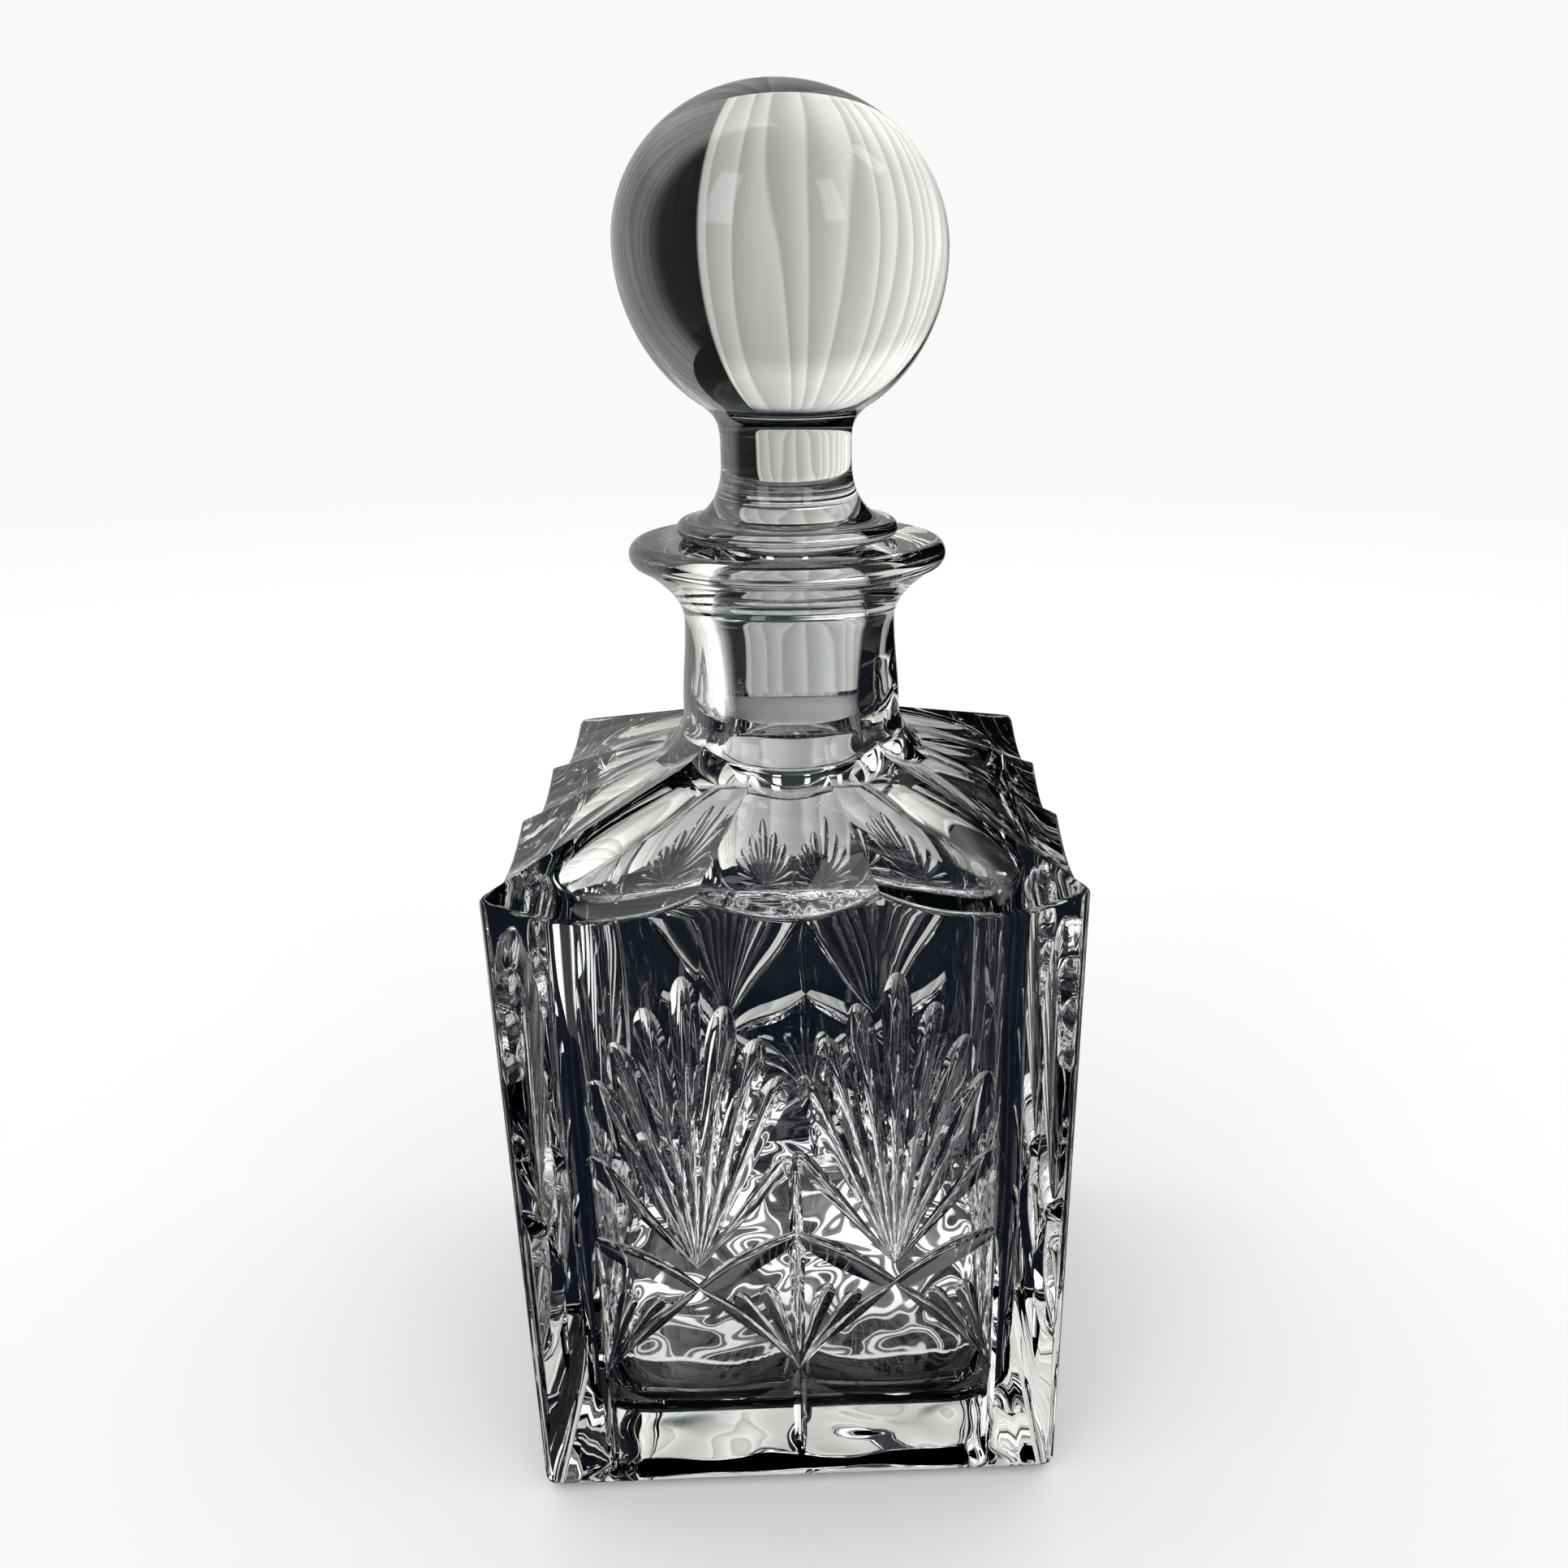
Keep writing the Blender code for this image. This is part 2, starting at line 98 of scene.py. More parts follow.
# Inside
INNER_HALF_WIDTH = 39.5 * MM
INNER_TAPER = 0.5 * MM
INNER_CORNER = 9.0 * MM
FLOOR_HEIGHT = 11.0 * MM
FLOOR_ROUNDING = 7.0 * MM
FLOOR_DOME = 1.2 * MM  # how much higher the inner floor is in its middle
WALL_TOP_HEIGHT = 113.5 * MM
INNER_SHOULDER_RISE = 10.0 * MM
INNER_SHOULDER_ROUND = 3.5 * MM
ROOF_POWER = 6  # how late the cavity's roof turns down into its wall
THROAT_HEIGHT = 133.0 * MM
THROAT_ROUNDING = 1.0 * MM
THROAT_SHARE = 0.1  # how far out the throat's rounding reaches, as a share of the way to the wall
BORE_TOP_RADIUS = 14.2 * MM
BORE_BOTTOM_RADIUS = 12.5 * MM
MOUTH_ROUNDING = 1.0 * MM
WALL_WAVES = ((0.4 * MM, 19.0 * MM), (0.12 * MM, 8.0 * MM))  # how far it wanders, and over what length
WAVE_STRETCH = 1.7  # how much longer the waves are up the wall than round it

# Stopper
FIT_GAP = 0.3 * MM
PLUG_BOTTOM_HEIGHT = STOPPER_LOW.z
PLUG_CHAMFER = 0.5 * MM
FLANGE_RADIUS = 19.05 * MM
FLANGE_ROUNDING = 1.5 * MM
STEM_RADIUS = 11.15 * MM
STEM_FOOT_HEIGHT = LIP_HEIGHT + 3.3 * MM
STEM_WAIST_LOW = 177.5 * MM
STEM_WAIST_HIGH = 180.0 * MM
STEM_FLARE = 3.7  # how late the stem widens into the ball: a power of the share of the height
BALL_RADIUS = STOPPER_HIGH.x
BALL_HEIGHT = 211.4 * MM  # of its widest ring
BALL_UPPER = STOPPER_HIGH.z - BALL_HEIGHT
BALL_LOWER = 28.5 * MM
BALL_JOIN_HEIGHT = 187.0 * MM

# Cut pattern on each upright face: u runs across the face and v is the height
COLUMN_PITCH = 33.6 * MM
LOW_NODE = 25.5 * MM
CROSS_NODE = 43.8 * MM
ARCH_NODE = 54.8 * MM
HIGH_NODE = 72.0 * MM
LOWER_FAN_HEIGHT = 27.0 * MM
UPPER_FAN_HEIGHT = 48.5 * MM
MITRE_FOOT = 4.0 * MM
RECESS_BOTTOM = 18.0 * MM
RECESS_SLOPE = -0.05  # beyond the scoop it grows this much shallower with height
SCOOP_DEPTH = 2.0 * MM
SCOOP_REACH = 6.0 * MM  # height above its lower edge at which a recess is fully scooped out
RECESS_STEP = 0.02 * MM
LOWER_BOW = 0.7 * MM  # how far an arch bows out below and above its crossing
UPPER_BOW = 0.4 * MM
GROOVE_DEPTH = 1.9 * MM
GROOVE_END_SHARE = 0.45  # how deep an arch is at its ends, as a share of its depth halfway
MITRE_DEPTH = 0.9 * MM
GROOVE_HALF_ANGLE = math.radians(50)
GROOVE_SOFTNESS = 0.16  # how round a groove's bottom is
GROOVE_ACROSS = (-1.0, -0.62, -0.34, -0.15, 0.0, 0.15, 0.34, 0.62, 1.0)
CUTTER_RISE = 0.6 * MM  # how far a cutter stands out of the face
UPPER_BLADES = ((-36, 28.5, 1.35), (-22, 40.5, 2.0), (-14.5, 46, 2.0), (-7.2, 51, 2.0), (0, 56, 2.0),
                (7.2, 51, 2.0), (14.5, 46, 2.0), (22, 40.5, 2.0), (36, 27.5, 1.35))
LOWER_BLADES = ((-33, 19.5, 1.2), (-17, 18.5, 1.35), (0, 28.0, 1.2), (17, 18.5, 1.35), (33, 19.5, 1.2))
BLADE_FOOT_SHARE = 0.1  # how deep a leaf is at its foot, as a share of its full depth
BLADE_WIDEST = 0.86  # how far along a leaf its depth is full
MITRE_OUTLINE = ((0.0, -0.1), (0.04, 0.5), (0.1, 0.9), (0.2, 1.0), (0.8, 1.0), (0.9, 0.9), (0.96, 0.5),
                 (1.0, -0.1))  # length, depth
SLAB_DEPTH = 6.0 * MM

# Fineness
FLUTE_STEPS = 14
CORNER_STEPS = 4
EDGE_STEPS = 4
ROUND_STEPS = 160
UNDERSIDE_STEPS = 30
SHOULDER_STEPS = 10
BLEND_STEPS = 14
ARC_STEPS = 10
NECK_STEPS = 16
BORE_STEPS = 6
THROAT_STEPS = 8
INNER_STEPS = 20
WALL_STEPS = 56
PLUG_STEPS = 12
BALL_STEPS = 60
BLADE_STEPS = 9
TIP_STEPS = 7
ARCH_STEPS = 8
RECESS_STEPS = 28
SCOOP_STEPS = 10
SHARP_ANGLE = math.radians(40)
WELD_DISTANCE = 0.002 * MM

# Crystal
CRYSTAL_IOR = 1.545
CLOUD_SCALE = 60.0
CLOUD_RANGE = (0.35, 0.75)

# Stage and light
FLOOR_RADIUS = 8.0
FLOOR_GAP = 0.4 * MM
FLOOR_HOLE = 0.1 * MM  # the floor is a ring too, with a hole this small under the foot
FLOOR_FADE = (0.35, 1.6)
FLOOR_COLOUR = (0.93, 0.93, 0.93)
BACKDROP_COLOUR = (0.95, 0.95, 0.95)
EVEN_LIGHT = (1.03, 1.03, 1.03)
CARD_REACH = (0.062, 0.25)
CARD_SHIFT = 0.045  # its outer edge lies this much further to the right
CARD_COLOUR = (0.005, 0.006, 0.012)
FOLD_RATE = 7.5  # folds to a radian
FOLD_WANDER = 2.2  # how many folds their edges wander by
FOLD_SWAY = 0.4  # how fast they wander with height
FOLD_FALL = 0.7  # how soon a fold's brightness falls off: a power of the share across it
FOLD_EDGE = 0.12  # the share of a fold that its bright edge takes to rise
# Directions are in radians: turn goes from straight behind to the right, and rise from level to up.
DRAPE_SHADE, DRAPE_LIGHT = (0.38, 0.385, 0.365), (0.64, 0.65, 0.62)
DRAPE_LEFT, DRAPE_GAIN = (0.1, -1.3), 3.0  # from the first turn to the second, they grow this much
DRAPE_EASE = 1.6  # how late they do: a power of the share of the turn
LOW_RISE, LOW_SHARE = (-0.75, -0.3), 1.5  # below these rises they are this much brighter
HIGH_RISE, HIGH_SHARE = (0.42, 0.6), 1.4  # and above these, this much
DARK_SIDE, DARK_SOFTNESS = (0.3, 2.3), 0.01
DARK_COLOURS = ((0.01, 0.009, 0.008), (0.035, 0.035, 0.033))  # at its two ends
DARK_LOW_RISE, DARK_LOW_COLOUR = (-0.75, -0.35), (0.12, 0.135, 0.135)
FRONT_FROM, FRONT_COLOUR = (1.3, 1.7), (0.045, 0.047, 0.05)
CEILING_FROM, CEILING_COLOUR = (0.85, 1.05), (0.03, 0.045, 0.046)
CEILING_SIDE = (-0.9, 0.1)
SOFTBOXES = ((2.35, 2.6, 0.3, 0.8), (-2.6, -2.25, 0.25, 0.85), (1.35, 1.6, 0.7, 1.0))  # turns, then rises
SOFTBOX_LIGHT, SOFTBOX_SOFTNESS = (2.2, 2.25, 2.3), 0.03
# Painted caustics, bands of light under the foot seen only by the glass: each stop is a share of a band
# and its colour.
CAUSTIC_SCALE = 55.0
CAUSTIC_DISTORTION = 1.2
CAUSTIC_BANDS = 7.0
CAUSTIC_STOPS = ((0.0, (0.008, 0.009, 0.014)), (0.4, (0.05, 0.052, 0.058)), (0.46, (0.85, 0.85, 0.84)),
              (0.53, (0.85, 0.85, 0.84)), (0.59, (0.08, 0.082, 0.085)), (0.78, (0.2, 0.202, 0.205)),
              (0.84, (1.0, 1.0, 0.99)))
# Painted shadow of the glass under its foot, from front to back: a share of the span, and how much of the
# bands' light is there.
SHADE_SPAN = (-28.0 * MM, 28.0 * MM)
SHADE_WANDER = 5.0 * MM
SHADE_STOPS = ((0.0, 0.0), (0.2, 0.0), (0.23, 0.85), (0.4, 0.85), (0.6, 1.5))
# A painted highlight: a bright line along the edge of the painted shadow.
SHADOW_EDGE_LINE, SHADOW_EDGE_HIGHLIGHT = (0.205, 0.225, 0.006), (0.85, 0.86, 0.84)  # start, end and softness

# Camera, with its lens and sensor in millimetres
CAMERA_PLACE = (6.217 * MM, -233.95 * MM, 202.59 * MM)
CAMERA_PITCH, CAMERA_YAW, CAMERA_ROLL = math.radians(19.894), math.radians(3.137), math.radians(0.328)
CAMERA_LENS, CAMERA_SENSOR = 30.65, 36.0
CAMERA_SHIFT = (-0.0715, 0.0039)  # across and up, as shares of the sensor's width

KEPT, DISCARDED, FIRST_CUT = 0, 1, 2  # what a panel face's material index says while it is cut


# ---------------------------------------------------------------- the bottle's outline


def face_half_width(height):
    return BASE_HALF_WIDTH + (HALF_WIDTH - BASE_HALF_WIDTH) * height / EDGE_HEIGHT


def face_offsets():
    """Where the lines up one face lie, as distances from its middle, closer beside each ridge."""
    end = HALF_WIDTH - CORNER_ROUNDING
    stops = (-end, -RIDGE_OFFSET, RIDGE_OFFSET, end)
    offsets = {stops[0], stops[-1]}
    for start, stop in zip(stops, stops[1:]):
        offsets |= {start + (stop - start) * i / FLUTE_STEPS for i in range(FLUTE_STEPS + 1)}
    for ridge in stops[1:3]:
        offsets |= {ridge - RIDGE_SOFTNESS, ridge + RIDGE_SOFTNESS}
    return sorted(offsets)


def quarter_outline():
    """(x, y, flute offset) of the front quarter at full width: one face, then its right corner."""
    points = [(u, -HALF_WIDTH, u) for u in face_offsets()]
    centre = HALF_WIDTH - CORNER_ROUNDING
    for i in range(1, CORNER_STEPS):
        share = i / CORNER_STEPS
        angle = math.pi / 2 * share
        offset = HALF_WIDTH - CORNER_ROUNDING * abs(1 - 2 * share)
        points.append((centre + CORNER_ROUNDING * math.sin(angle),
                       -centre - CORNER_ROUNDING * math.cos(angle), offset))
    return points


OUTLINE = quarter_outline()
FACE_COUNT = len(face_offsets())


def quarter_turns(points):
    return [Vector((x * c - y * s, x * s + y * c, z))
            for c, s in ((1, 0), (0, 1), (-1, 0), (0, -1)) for x, y, z in points]


def flute_sag(offset):
    if abs(offset) <= RIDGE_OFFSET:
        middle, half = 0.0, RIDGE_OFFSET
    else:
        middle = math.copysign((RIDGE_OFFSET + HALF_WIDTH) / 2, offset)
        half = (HALF_WIDTH - RIDGE_OFFSET) / 2
    return FLUTE_SAG * max(0.0, 1 - ((offset - middle) / half) ** 2)


def shoulder_height(x, y, offset, radius):
    """A pyramid with flutes sunk in it, lifted into the neck by a round fillet."""
    edge_radius = math.hypot(x, y)
    inward = max(abs(x), abs(y)) * radius / edge_radius
    pyramid = EDGE_HEIGHT + SHOULDER_SLOPE * (HALF_WIDTH - inward)
    depth = max(0.0, (radius - FLUTE_FADE_RADIUS) / (edge_radius - FLUTE_FADE_RADIUS))
    fluted = pyramid - flute_sag(offset) * depth
    reach = (SHOULDER_BLEND_RADIUS - radius) / (SHOULDER_BLEND_RADIUS - NECK_FOOT_RADIUS)
    lift = 1 - math.sqrt(1 - min(1.0, max(0.0, reach)) ** 2)
    return fluted + (NECK_FOOT_HEIGHT - fluted) * lift


def shoulder_point(x, y, offset, radius):
    scale = radius / math.hypot(x, y)
    return Vector((x * scale, y * scale, shoulder_height(x, y, offset, radius)))


def face_point(x, y, offset, below):
    """A point on an upright face, this far below the line where the flutes cut it."""
    height = EDGE_HEIGHT - flute_sag(offset) - below
    scale = face_half_width(height) / HALF_WIDTH
    return Vector((x * scale, y * scale, height))


def edge_rings():
    """The softened arris between the upright faces and the flutes."""
    rings = []
    for i in range(EDGE_STEPS + 1):
        share = i / EDGE_STEPS
        points = []
        for x, y, offset in OUTLINE:
            low = face_point(x, y, offset, EDGE_ROUNDING)
            corner = face_point(x, y, offset, 0.0)
            high = shoulder_point(x, y, offset, math.hypot(x, y) - EDGE_ROUNDING)
            points.append(low.lerp(corner, share).lerp(corner.lerp(high, share), share))
        rings.append(quarter_turns(points))
    return rings


def shoulder_rings():
    rings = []
    for i in range(1, SHOULDER_STEPS + BLEND_STEPS + 1):
        points = []
        for x, y, offset in OUTLINE:
            start = math.hypot(x, y) - EDGE_ROUNDING
            if i <= SHOULDER_STEPS:
                radius = start + (SHOULDER_BLEND_RADIUS - start) * i / SHOULDER_STEPS
            else:
                turn = math.pi / 2 * (i - SHOULDER_STEPS) / BLEND_STEPS
                blend = SHOULDER_BLEND_RADIUS - NECK_FOOT_RADIUS
                radius = SHOULDER_BLEND_RADIUS - blend * math.sin(turn)
            points.append(shoulder_point(x, y, offset, radius))
        rings.append(quarter_turns(points))
    return rings


def base_rings():
    rings = []
    for i in range(ARC_STEPS + 1):
        angle = math.pi / 2 * i / ARC_STEPS
        height = BASE_ROUNDING * (1 - math.cos(angle))
        inset = BASE_ROUNDING * (1 - math.sin(angle))
        scale = (face_half_width(BASE_ROUNDING) - inset) / HALF_WIDTH
        rings.append(quarter_turns([(x * scale, y * scale, height) for x, y, _ in OUTLINE]))
    return rings


def underside_height(x, y, scale, outer):
    """How far a point of the underside is above the table."""
    inset = outer * (1 - scale) - RIM_WIDTH
    ease = min(1.0, max(0.0, inset / HOLLOW_REACH))
    height, length = UNDERSIDE_WAVES
    wave = height * noise.noise(Vector((x / length, y / length, 0.0)))
    return ease * ease * (3 - 2 * ease) * (HOLLOW_DEPTH + max(-HOLLOW_DEPTH, wave))


def underside_rings():
    """From the middle of the underside out to its rim."""
    outer = face_half_width(BASE_ROUNDING) - BASE_ROUNDING
    rings = []
    for i in range(1, UNDERSIDE_STEPS):
        scale = i / UNDERSIDE_STEPS
        points = quarter_turns([(x * outer / HALF_WIDTH * scale, y * outer / HALF_WIDTH * scale, 0.0)
                                for x, y, _ in OUTLINE])
        rings.append([Vector((point.x, point.y, underside_height(point.x, point.y, scale, outer)))
                      for point in points])
    return rings


def round_ring(radius, height):
    return quarter_turns([(x * radius / math.hypot(x, y), y * radius / math.hypot(x, y), height)
                          for x, y, _ in OUTLINE])


def neck_profile():
    """(radius, height) from above the neck's foot to the flat on top of the lip."""
    centre_radius = LIP_RADIUS - LIP_ROUNDING
    centre_height = LIP_HEIGHT - LIP_ROUNDING
    flare_top = centre_height + LIP_ROUNDING * math.sin(LIP_START)
    points = []
    for i in range(1, NECK_STEPS):
        share = i / NECK_STEPS
        height = NECK_FOOT_HEIGHT + (NECK_WAIST_HEIGHT - NECK_FOOT_HEIGHT) * share
        ease = (1 - math.cos(math.pi * share)) / 2
        points.append((NECK_FOOT_RADIUS + (NECK_WAIST_RADIUS - NECK_FOOT_RADIUS) * ease, height))
    for i in range(NECK_STEPS):
        height = NECK_WAIST_HEIGHT + (flare_top - NECK_WAIST_HEIGHT) * i / NECK_STEPS
        points.append((NECK_WAIST_RADIUS + LIP_FLARE * (height - NECK_WAIST_HEIGHT) ** 2, height))
    for i in range(2 * ARC_STEPS + 1):
        angle = LIP_START + (math.pi / 2 - LIP_START) * i / (2 * ARC_STEPS)
        points.append((centre_radius + LIP_ROUNDING * math.cos(angle),
                       centre_height + LIP_ROUNDING * math.sin(angle)))
    return points


# ---------------------------------------------------------------- the inside


def square_radius(azimuth, half_width):
    """How far a square with round corners reaches at this angle from a face's middle."""
    s, c = abs(math.sin(azimuth)), abs(math.cos(azimuth))
    s, c = min(s, c), max(s, c)
    corner = min(INNER_CORNER, half_width)
    flat = half_width - corner
    if half_width / c * s <= flat:
        return half_width / c
    return flat * (s + c) + math.sqrt(max(0.0, corner ** 2 - (flat * (c - s)) ** 2))


def inner_ring(half_width, squareness, height, wave):
    """A ring of the cavity, between a circle (squareness 0) and a square with round corners (1)."""
    ring = []
    for x, y, _ in OUTLINE:
        radius = half_width + (square_radius(math.atan2(x, -y), half_width) - half_width) * squareness
        scale = radius / math.hypot(x, y)
        ring.append((x * scale, y * scale, height))
    return [swollen(point, wave) for point in quarter_turns(ring)]


def swollen(point, wave):
    """Hand-blown unevenness: the cavity's skin wanders in and out a little."""
    outward = Vector((point.x, point.y, 0)).normalized()
    sample = Vector((point.x, point.y, point.z / WAVE_STRETCH))
    wander = sum(height * noise.noise(sample / length) for height, length in WALL_WAVES)
    return point + outward * wave * wander


def inner_shoulder_height(share):
    """The cavity's roof, from beside the throat (share 0) to the top of the wall (share 1)."""
    return (WALL_TOP_HEIGHT + INNER_SHOULDER_RISE * (1 - share)
            + INNER_SHOULDER_ROUND * math.sqrt(max(0.0, 1 - share ** ROOF_POWER)))


def inner_width(share):
    """The cavity's half width under its roof, this share of the way out from the bore to the wall."""
    return BORE_BOTTOM_RADIUS + (INNER_HALF_WIDTH - BORE_BOTTOM_RADIUS) * share


def cavity_rings():
    """The inside, from the flat of the lip down to the middle of the floor."""
    rings = []
    for i in range(ARC_STEPS + 1):
        angle = math.pi / 2 * i / ARC_STEPS
        rings.append(round_ring(BORE_TOP_RADIUS + MOUTH_ROUNDING * (1 - math.sin(angle)),
                                LIP_HEIGHT - MOUTH_ROUNDING * (1 - math.cos(angle))))
    bore_top, bore_low = LIP_HEIGHT - MOUTH_ROUNDING, THROAT_HEIGHT + THROAT_ROUNDING
    for i in range(1, BORE_STEPS + 1):
        share = i / BORE_STEPS
        rings.append(round_ring(BORE_TOP_RADIUS + (BORE_BOTTOM_RADIUS - BORE_TOP_RADIUS) * share,
                                bore_top + (bore_low - bore_top) * share))
    throat_foot = inner_shoulder_height(THROAT_SHARE)
    throat_reach = inner_width(THROAT_SHARE) - BORE_BOTTOM_RADIUS
    for i in range(1, THROAT_STEPS):
        angle = math.pi / 2 * i / THROAT_STEPS
        width = BORE_BOTTOM_RADIUS + throat_reach * (1 - math.cos(angle))
        height = bore_low + (throat_foot - bore_low) * math.sin(angle)
        rings.append(inner_ring(width, THROAT_SHARE * i / THROAT_STEPS, height, 0.0))
    for i in range(INNER_STEPS + 1):
        share = THROAT_SHARE + (1 - THROAT_SHARE) * math.sin(math.pi / 2 * i / INNER_STEPS)
        rings.append(inner_ring(inner_width(share), share, inner_shoulder_height(share),
                                share ** ROOF_POWER))
    floor_top = FLOOR_HEIGHT + FLOOR_ROUNDING
    for i in range(1, WALL_STEPS):
        share = i / WALL_STEPS
        height = WALL_TOP_HEIGHT + (floor_top - WALL_TOP_HEIGHT) * share
        rings.append(inner_ring(INNER_HALF_WIDTH - INNER_TAPER * share, 1.0, height, 1.0))
    for i in range(ARC_STEPS + 1):
        angle = math.pi / 2 * i / ARC_STEPS
        width = INNER_HALF_WIDTH - INNER_TAPER - FLOOR_ROUNDING * (1 - math.cos(angle))
        height = FLOOR_HEIGHT + FLOOR_ROUNDING * (1 - math.sin(angle))
        rings.append(inner_ring(width, 1.0, height, 1 - i / ARC_STEPS))
    rim = INNER_HALF_WIDTH - INNER_TAPER - FLOOR_ROUNDING
    for i in range(1, ARC_STEPS):
        share = i / ARC_STEPS
        rings.append(inner_ring(rim * (1 - share), 1.0 - share,
                                FLOOR_HEIGHT + FLOOR_DOME * (1 - (1 - share) ** 2), 0.0))
    return rings


# ---------------------------------------------------------------- the cut pattern


def on_face(u, v, outward):
    return Vector((u, -(face_half_width(v) + outward), v))


class Cutters:
    """The wheel cuts of one face, each a closed solid whose faces carry their own index."""

    def __init__(self):
        self.group = bpy.data.collections.new("cutters")
        self.next_index = FIRST_CUT

    def add(self, rows, sides):
        """A solid lofted through rows of points. Segments with the same side number shade as one."""
        mesh = bmesh.new()
        made = [[mesh.verts.new(point) for point in row] for row in rows]
        count = len(rows[0])
        for low, high in zip(made, made[1:]):
            for i in range(count):
                j = (i + 1) % count
                face = mesh.faces.new((low[i], low[j], high[j], high[i]))
                face.material_index = self.next_index + sides[i]
        for cap in (made[0][::-1], made[-1]):
            mesh.faces.new(cap).material_index = self.next_index + max(sides)
        self.next_index += max(sides) + 1
        bmesh.ops.recalc_face_normals(mesh, faces=mesh.faces)
        data = bpy.data.meshes.new("cutter")
        mesh.to_mesh(data)
        mesh.free()
        self.group.objects.link(bpy.data.objects.new("cutter", data))

    def groove(self, path, depths):
        """A V groove with a soft bottom along a path, as deep as stated at each point."""
        widening = math.tan(GROOVE_HALF_ANGLE)
        bottom = math.hypot(1, GROOVE_SOFTNESS) - GROOVE_SOFTNESS
        rows = []
        for i, (point, depth) in enumerate(zip(path, depths)):
            ahead = (path[min(i + 1, len(path) - 1)] - path[max(i - 1, 0)]).normalized()
            aside = Vector((-ahead.y, ahead.x)) * (depth + CUTTER_RISE) * widening
            rows.append([on_face(*(point + aside * share),
                                 (depth + CUTTER_RISE) * (math.hypot(share, GROOVE_SOFTNESS)
                                                          - GROOVE_SOFTNESS) / bottom - depth)
                         for share in GROOVE_ACROSS])
        self.add(rows, [0] * (len(GROOVE_ACROSS) - 1) + [1])

    def blade(self, foot, angle, length, depth):
        """One leaf of a fan: it deepens from its foot and ends in a round tip."""
        ahead = Vector((math.sin(angle), math.cos(angle)))
        stations = []
        for i in range(BLADE_STEPS):
            share = i / BLADE_STEPS
            stations.append((BLADE_WIDEST * share, BLADE_FOOT_SHARE + (1 - BLADE_FOOT_SHARE) * share))
        for i in range(TIP_STEPS):
            turn = math.pi / 2 * i / TIP_STEPS
            stations.append((BLADE_WIDEST + (1 - BLADE_WIDEST) * math.sin(turn), math.cos(turn)))
        stations.append((1.0, -0.05))
        self.groove([foot + ahead * length * share for share, _ in stations],
                    [depth * part for _, part in stations])

    def recess(self, middle):
        """The hollow under one crossing: it is scooped out upward from a round lower edge."""
        rows = []
        for i in range(RECESS_STEPS + 1):
            share = -1 + 2 * i / RECESS_STEPS
            u = middle + share * COLUMN_PITCH / 2
            bottom = LOW_NODE - (LOW_NODE - RECESS_BOTTOM) * (1 - share ** 2)
            top = LOW_NODE + (CROSS_NODE - LOW_NODE) * (1 - abs(share)) + RECESS_STEP
            scoop = []
            for j in range(SCOOP_STEPS + 1):
                climb = (top - bottom) * j / SCOOP_STEPS
                turn = math.pi / 2 * min(1.0, climb / SCOOP_REACH)
                scoop.append(on_face(u, bottom + climb, -RECESS_STEP - SCOOP_DEPTH * math.sin(turn)
                                     - RECESS_SLOPE * climb))
            rows.append([*scoop, on_face(u, top, CUTTER_RISE), on_face(u, bottom, CUTTER_RISE)])
        self.add(rows, [0] * SCOOP_STEPS + [1, 2, 3])


def arch_path(low, cross, high):
    """A bowed line from a low node over a crossing to the head of the next column, and its depths.

    Each of its two leaves is deepest halfway and shallow at its ends.
    """
    points, depths = [], []
    for start, end, bow in ((low, cross, LOWER_BOW), (cross, high, UPPER_BOW)):
        for i in range(ARCH_STEPS + (end is high)):
            swell = math.sin(math.pi * i / ARCH_STEPS)
            points.append(start.lerp(end, i / ARCH_STEPS) + Vector((0, bow * swell)))
            depths.append(GROOVE_DEPTH * (GROOVE_END_SHARE + (1 - GROOVE_END_SHARE) * swell))
    return points, depths


def cut_arches(cutters):
    for column in (-1, 0, 1):
        for side in (-1, 1):
            if abs(column + side) > 1:
                continue
            foot = column * COLUMN_PITCH
            cutters.groove(*arch_path(Vector((foot, LOW_NODE)),
                                      Vector((foot + side * COLUMN_PITCH / 2, CROSS_NODE)),
                                      Vector((foot + side * COLUMN_PITCH, ARCH_NODE))))


def cut_mitres(cutters):
    for column in (-1, 0, 1):
        bottom, top = MITRE_FOOT, ARCH_NODE if column else HIGH_NODE
        path = [Vector((column * COLUMN_PITCH, bottom + (top - bottom) * share))
                for share, _ in MITRE_OUTLINE]
        cutters.groove(path, [MITRE_DEPTH * part for _, part in MITRE_OUTLINE])


def cut_fans(cutters):
    for side in (-1, 1):
        foot = Vector((side * COLUMN_PITCH / 2, UPPER_FAN_HEIGHT))
        for degrees, length, depth in UPPER_BLADES:
            cutters.blade(foot, math.radians(degrees), length * MM, depth * MM)
    for column in (-1, 0, 1):
        foot = Vector((column * COLUMN_PITCH, LOWER_FAN_HEIGHT))
        for degrees, length, depth in LOWER_BLADES:
            if column * degrees > 0 or (column and degrees == 0):
                continue
            cutters.blade(foot, math.radians(degrees), length * MM, depth * MM)


def cut_recesses(cutters):
    for side in (-1, 1):
        cutters.recess(side * COLUMN_PITCH / 2)


def panel_slab(outline):
    """The face's outline as a slab: its front is kept after cutting, its back and sides aren't."""
    mesh = bmesh.new()
    front = [mesh.verts.new(point) for point in outline]
    back = [mesh.verts.new(point + Vector((0, SLAB_DEPTH, 0))) for point in outline]
    mesh.faces.new(front).material_index = KEPT
    mesh.faces.new(back[::-1]).material_index = DISCARDED
    for i in range(len(outline)):
        j = (i + 1) % len(outline)
        mesh.faces.new((front[i], back[i], back[j], front[j])).material_index = DISCARDED
    bmesh.ops.recalc_face_normals(mesh, faces=mesh.faces)
    data = bpy.data.meshes.new("panel")
    mesh.to_mesh(data)
    mesh.free()
    return bpy.data.objects.new("panel", data)


